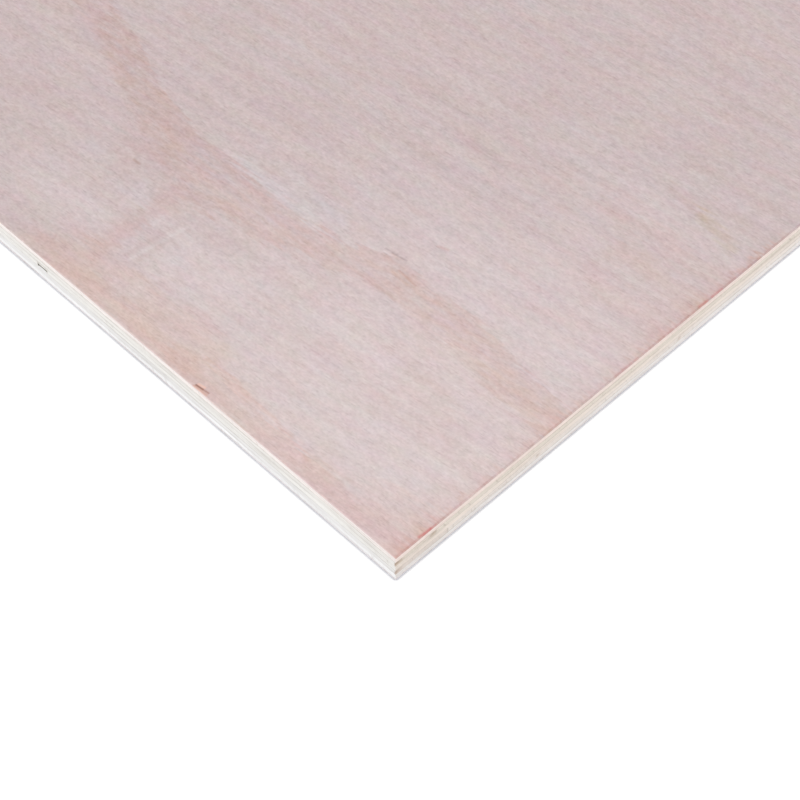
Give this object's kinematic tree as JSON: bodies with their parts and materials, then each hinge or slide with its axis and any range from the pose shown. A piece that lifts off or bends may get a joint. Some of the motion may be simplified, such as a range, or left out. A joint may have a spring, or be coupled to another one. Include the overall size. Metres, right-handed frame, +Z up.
{
  "type": "plywood sheet",
  "caption": "Flat rectangular plywood sheet: crosswise veneers with a sanded pinkish hardwood face, pale core plies and square sawn edges, for panelling, floors and joinery.",
  "frame": {"origin": "centre of the underside, on the back veneer", "axes": "+X along the length and the grain of the face, +Y across the width, +Z up out of the face"},
  "size_m": [2.44, 1.22, 0.012],
  "materials": {
    "face_veneer": "rotary-cut pinkish hardwood, sanded, not oiled or varnished",
    "cross_core": "pale softer hardwood veneer with its grain across the sheet, sawn at the edges",
    "long_core": "pale softer hardwood veneer with its grain along the sheet, sawn at the edges",
    "back_veneer": "rotary-cut hardwood back, sanded"
  },
  "bodies": {
    "root": {"face_veneer": "face_veneer", "cross_ply_1": "cross_core", "long_ply_2": "long_core", "cross_ply_3": "cross_core", "long_ply_4": "long_core", "cross_ply_5": "cross_core", "back_veneer": "back_veneer"}
  },
  "joints": []
}
